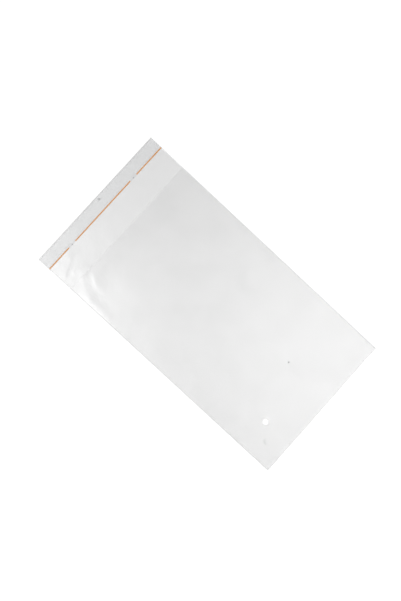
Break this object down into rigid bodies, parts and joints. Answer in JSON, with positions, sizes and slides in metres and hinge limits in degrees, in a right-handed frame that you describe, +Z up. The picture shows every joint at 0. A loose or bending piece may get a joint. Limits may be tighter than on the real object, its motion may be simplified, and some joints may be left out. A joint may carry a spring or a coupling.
{
  "type": "self-seal clear film bag",
  "caption": "Flat clear film bag with side welds, a folded bottom, a vent hole and a lip with an adhesive strip under a liner marked by a broken orange line.",
  "frame": {"origin": "under the middle of the whole bag, lip included, on the surface that the bag lies on", "axes": "+X across the bag between the side welds, +Y from the bottom fold to the end of the lip, +Z up, out of the front wall"},
  "size_m": [0.155, 0.2916, 0.0008],
  "materials": {
    "clear_film": "clear glossy film, about 40 micrometres thick",
    "adhesive": "clear tacky coating, slightly hazy",
    "liner": "clear release film, slightly blue-grey",
    "orange_ink": "printed orange line",
    "grey_ink": "printed grey mark"
  },
  "bodies": {
    "root": {"bag_film": "clear_film", "adhesive_strip": "adhesive", "release_liner": "liner", "peel_line_1": "orange_ink", "peel_line_2": "orange_ink", "peel_line_3": "orange_ink", "peel_mark_1": "grey_ink", "peel_mark_2": "grey_ink"}
  },
  "joints": []
}
